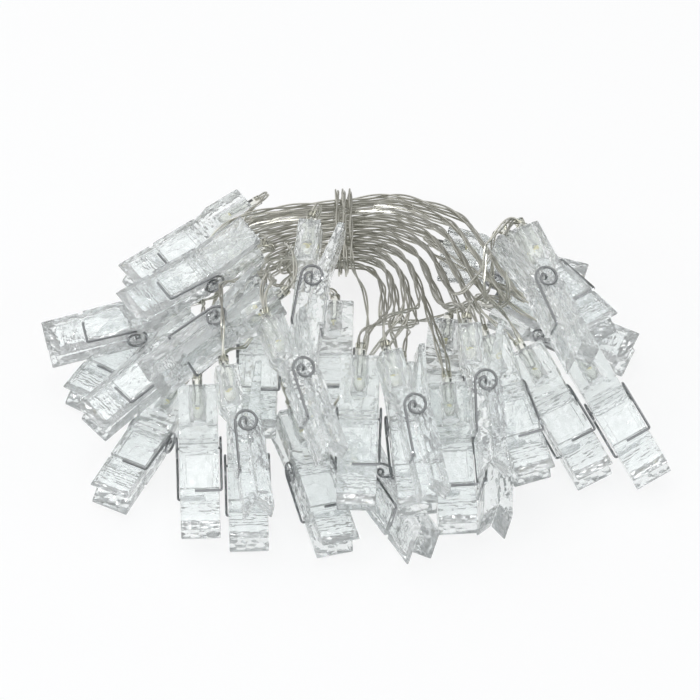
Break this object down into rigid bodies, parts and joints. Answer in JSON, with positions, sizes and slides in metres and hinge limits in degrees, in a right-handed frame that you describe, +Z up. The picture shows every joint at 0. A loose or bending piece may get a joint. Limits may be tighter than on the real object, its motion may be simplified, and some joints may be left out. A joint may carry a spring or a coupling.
{
  "type": "photo display string with clips",
  "caption": "Clear spring clips with lamps in their handles on one long twisted wire, bundled with the wire folded into an arch.",
  "frame": {"origin": "on the surface the bundle lies on, under the middle of the box round its clips", "axes": "+Z up, +Y from the fan of clip jaws in front towards the arch of wire behind, +X to the right seen from the front"},
  "size_m": [0.195, 0.1449, 0.0628],
  "materials": {
    "plastic": "clear moulded polystyrene",
    "resin": "clear cast resin",
    "steel": "bright spring wire",
    "wire": "clear insulation over silvery strands"
  },
  "bodies": {
    "heap": {"clip_01": "plastic", "clip_02": "plastic", "clip_03": "plastic", "clip_04": "plastic", "clip_05": "plastic", "clip_06_lamp": "resin", "clip_06_lamp_lever": "plastic", "clip_06_spring": "steel", "clip_07": "plastic", "clip_08_lamp": "resin", "clip_08_lamp_lever": "plastic", "clip_08_spring": "steel", "clip_09": "plastic", "clip_10": "plastic", "clip_11": "plastic", "clip_12": "plastic", "clip_13_lamp": "resin", "clip_13_lamp_lever": "plastic", "clip_13_spring": "steel", "clip_14": "plastic", "clip_15": "plastic", "clip_16": "plastic", "clip_17_lamp": "resin", "clip_17_lamp_lever": "plastic", "clip_17_spring": "steel", "clip_18_lamp": "resin", "clip_18_lamp_lever": "plastic", "clip_18_spring": "steel", "clip_19_lamp": "resin", "clip_19_lamp_lever": "plastic", "clip_19_spring": "steel", "clip_20": "plastic", "clip_21": "plastic", "clip_22_lamp": "resin", "clip_22_lamp_lever": "plastic", "clip_22_spring": "steel", "clip_23_lamp": "resin", "clip_23_lamp_lever": "plastic", "clip_23_spring": "steel", "clip_24": "plastic", "clip_25": "plastic", "clip_26": "plastic", "clip_27_lamp": "resin", "clip_27_lamp_lever": "plastic", "clip_27_spring": "steel", "clip_28": "plastic", "clip_29": "plastic", "clip_30": "plastic", "string_wire": "wire", "tie_wire": "wire"},
    "clip_06_jaw": {"clip_06_moving_lever": "plastic"},
    "clip_08_jaw": {"clip_08_moving_lever": "plastic"},
    "clip_13_jaw": {"clip_13_moving_lever": "plastic"},
    "clip_17_jaw": {"clip_17_moving_lever": "plastic"},
    "clip_18_jaw": {"clip_18_moving_lever": "plastic"},
    "clip_19_jaw": {"clip_19_moving_lever": "plastic"},
    "clip_22_jaw": {"clip_22_moving_lever": "plastic"},
    "clip_23_jaw": {"clip_23_moving_lever": "plastic"},
    "clip_27_jaw": {"clip_27_moving_lever": "plastic"}
  },
  "joints": [
    {"name": "clip_06_hinge", "type": "hinge", "parent": "heap", "child": "clip_06_jaw", "pos_m": [0.06177, 0.02426, 0.00828], "axis": [-0.3746, -0.9272, 0], "range_deg": [0, 12], "stiffness_Nm_per_rad": 0.05, "springref_deg": -34.38, "deforming": ["clip_06_spring"]},
    {"name": "clip_08_hinge", "type": "hinge", "parent": "heap", "child": "clip_08_jaw", "pos_m": [0.0579, 0.00601, 0.04529], "axis": [-0.1606, 0.302, -0.9397], "range_deg": [0, 12], "stiffness_Nm_per_rad": 0.05, "springref_deg": -34.38, "deforming": ["clip_08_spring"]},
    {"name": "clip_13_hinge", "type": "hinge", "parent": "heap", "child": "clip_13_jaw", "pos_m": [-0.04687, 0.01851, 0.03858], "axis": [-0.5299, 0.848, 0], "range_deg": [0, 12], "stiffness_Nm_per_rad": 0.05, "springref_deg": -34.38, "deforming": ["clip_13_spring"]},
    {"name": "clip_17_hinge", "type": "hinge", "parent": "heap", "child": "clip_17_jaw", "pos_m": [-0.03296, -0.04448, 0.03723], "axis": [0.0761, -0.4317, 0.8988], "range_deg": [0, 12], "stiffness_Nm_per_rad": 0.05, "springref_deg": -34.38, "deforming": ["clip_17_spring"]},
    {"name": "clip_18_hinge", "type": "hinge", "parent": "heap", "child": "clip_18_jaw", "pos_m": [0.03944, -0.0336, 0.04373], "axis": [0.0491, -0.4669, 0.8829], "range_deg": [0, 12], "stiffness_Nm_per_rad": 0.05, "springref_deg": -34.38, "deforming": ["clip_18_spring"]},
    {"name": "clip_19_hinge", "type": "hinge", "parent": "heap", "child": "clip_19_jaw", "pos_m": [-0.04023, -0.01318, 0.04768], "axis": [0.29, 0.1812, -0.9397], "range_deg": [0, 12], "stiffness_Nm_per_rad": 0.05, "springref_deg": -34.38, "deforming": ["clip_19_spring"]},
    {"name": "clip_22_hinge", "type": "hinge", "parent": "heap", "child": "clip_22_jaw", "pos_m": [0.01767, -0.0432, 0.04318], "axis": [0.1135, -0.4234, 0.8988], "range_deg": [0, 12], "stiffness_Nm_per_rad": 0.05, "springref_deg": -34.38, "deforming": ["clip_22_spring"]},
    {"name": "clip_23_hinge", "type": "hinge", "parent": "heap", "child": "clip_23_jaw", "pos_m": [-0.01623, -0.03404, 0.04931], "axis": [0.1713, -0.4035, 0.8988], "range_deg": [0, 12], "stiffness_Nm_per_rad": 0.05, "springref_deg": -34.38, "deforming": ["clip_23_spring"]},
    {"name": "clip_27_hinge", "type": "hinge", "parent": "heap", "child": "clip_27_jaw", "pos_m": [-0.01255, 0.00474, 0.04798], "axis": [-0.0566, -0.4028, 0.9135], "range_deg": [0, 12], "stiffness_Nm_per_rad": 0.05, "springref_deg": -34.38, "deforming": ["clip_27_spring"]}
  ]
}
